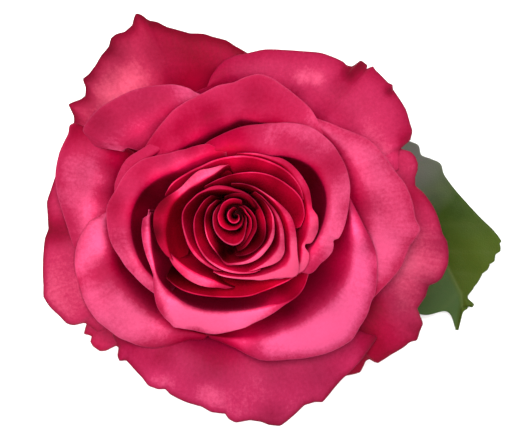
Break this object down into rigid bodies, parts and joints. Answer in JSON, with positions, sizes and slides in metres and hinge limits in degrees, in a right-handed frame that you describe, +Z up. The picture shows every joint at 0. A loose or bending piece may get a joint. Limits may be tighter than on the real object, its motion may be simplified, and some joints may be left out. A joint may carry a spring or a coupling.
{
  "type": "cut rose bloom with leaf",
  "caption": "Full-blown deep pink double rose cut just below the bloom, resting face up on its folded sepals, with one serrated green leaf lying beside it.",
  "frame": {"origin": "middle of the overall box, on the surface that the rose rests on", "axes": "+Z up, out of the open face of the bloom; +X towards the side where the leaf lies; +Y across, towards the longest back petal"},
  "size_m": [0.1134, 0.1012, 0.0476],
  "materials": {
    "petal_inner": "soft velvety deep crimson",
    "petal_cup": "soft velvety hot pink with fine veins",
    "petal_guard": "soft dusty pink with darker curled edges",
    "leaf": "waxy mid green with a pale midrib",
    "sepal": "matt green",
    "stem": "smooth green bark with a pale cut"
  },
  "bodies": {
    "root": {"bud_core": "petal_inner", "bud_left": "petal_inner", "bud_front": "petal_inner", "bud_right": "petal_inner", "heart_top": "petal_inner", "heart_right": "petal_inner", "heart_left": "petal_inner", "heart_front": "petal_inner", "ring_left": "petal_inner", "ring_front": "petal_inner", "ring_right": "petal_inner", "ring_top": "petal_inner", "ring_back": "petal_inner", "lobe_right": "petal_inner", "lobe_top": "petal_inner", "lobe_front": "petal_inner", "cup_front": "petal_cup", "cup_right": "petal_cup", "cup_sliver": "petal_cup", "cup_left": "petal_cup", "fold_left": "petal_cup", "spread_top": "petal_cup", "roll_left": "petal_cup", "roll_right": "petal_cup", "spread_right": "petal_cup", "fold_top": "petal_cup", "spread_left": "petal_cup", "guard_front": "petal_guard", "guard_top_right": "petal_guard", "guard_left": "petal_guard", "guard_top_left": "petal_guard", "guard_right": "petal_guard", "guard_small": "petal_guard", "hip": "sepal", "sepal_1": "sepal", "sepal_2": "sepal", "sepal_3": "sepal", "sepal_4": "sepal", "sepal_5": "sepal", "stem": "stem", "leaf_stalk": "stem", "leaf_blade": "leaf"}
  },
  "joints": []
}
